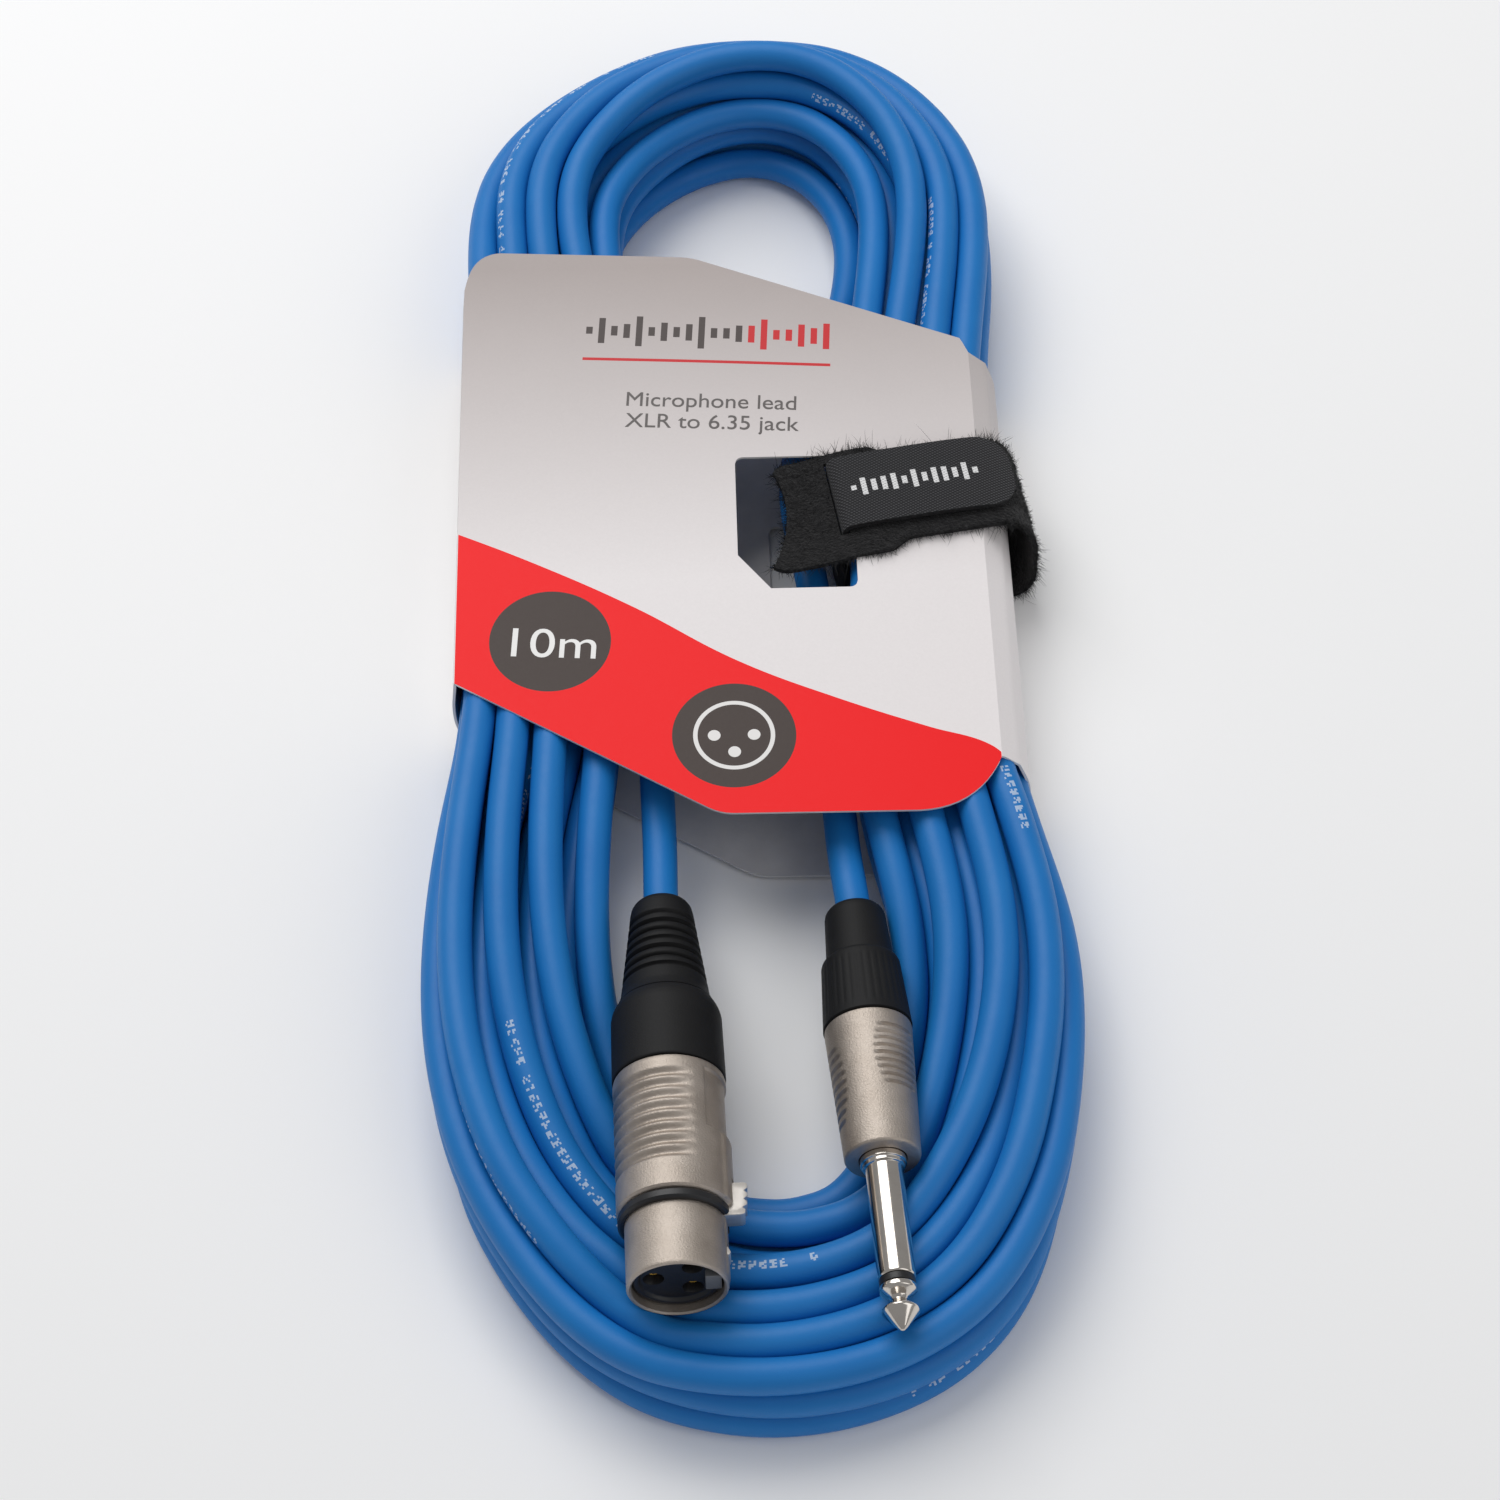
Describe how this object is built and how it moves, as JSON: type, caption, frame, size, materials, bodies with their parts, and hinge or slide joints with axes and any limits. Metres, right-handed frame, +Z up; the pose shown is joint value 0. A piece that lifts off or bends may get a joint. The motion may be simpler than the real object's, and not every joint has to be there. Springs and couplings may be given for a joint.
{
  "type": "microphone cable coil",
  "caption": "Coiled round microphone lead held by a folded card sleeve and a hook-and-loop strap, with a female XLR connector and a 6.35 mm mono jack plug.",
  "frame": {"origin": "middle of the object's footprint, on the floor it lies on", "axes": "+Z up from the floor, +Y along the coil away from the connectors' mating ends, +X to the right"},
  "size_m": [0.1162, 0.3086, 0.0323],
  "materials": {
    "cable_jacket": "satin blue PVC with fine ribbing",
    "card": "silver-grey printed card",
    "loop_fabric": "brushed nylon loop pile",
    "hook_fabric": "woven hook tape",
    "satin_nickel": "satin nickel plate",
    "bright_nickel": "polished nickel plate",
    "boot_rubber": "soft black elastomer",
    "black_plastic": "moulded black plastic",
    "grey_plastic": "moulded grey plastic",
    "contact_gold": "gold-plated brass",
    "spring_steel": "spring steel",
    "lead_red": "insulated core",
    "lead_white": "insulated core",
    "lead_copper": "twisted copper braid"
  },
  "bodies": {
    "lead": {"cable_coil": "cable_jacket", "xlr_tail": "cable_jacket", "jack_tail": "cable_jacket", "card_sleeve": "card", "strap_band": "loop_fabric", "xlr_shell": "satin_nickel", "xlr_ring": "black_plastic", "xlr_insert": "black_plastic", "xlr_latch_spring": "spring_steel", "xlr_contact_1": "contact_gold", "xlr_contact_2": "contact_gold", "xlr_contact_3": "contact_gold", "xlr_lead_1": "lead_red", "xlr_lead_2": "lead_white", "xlr_lead_3": "lead_copper", "xlr_chuck": "grey_plastic", "xlr_collar": "black_plastic", "xlr_boot": "boot_rubber", "jack_shell": "satin_nickel", "jack_collar": "black_plastic", "jack_sleeve_contact": "bright_nickel", "jack_insulator": "black_plastic", "jack_tip": "bright_nickel", "jack_chuck": "grey_plastic", "jack_lead_tip": "lead_white", "jack_lead_shield": "lead_copper", "jack_boot": "boot_rubber"},
    "latch": {"xlr_latch": "satin_nickel"},
    "tab": {"strap_tab": "hook_fabric"}
  },
  "joints": [
    {"name": "latch_press", "type": "hinge", "parent": "lead", "child": "latch", "pos_m": [-0.00785, -0.11224, 0.02076], "axis": [0.0031, -0.1246, -0.9922], "range_deg": [0, 4], "stiffness_Nm_per_rad": 0.4, "springref_deg": -1.72, "deforming": ["xlr_latch_spring"]},
    {"name": "strap_peel", "type": "hinge", "parent": "lead", "child": "tab", "pos_m": [0.01906, 0.01985, 0.02625], "axis": [0.1564, -0.9877, 0], "range_deg": [0, 165]}
  ]
}
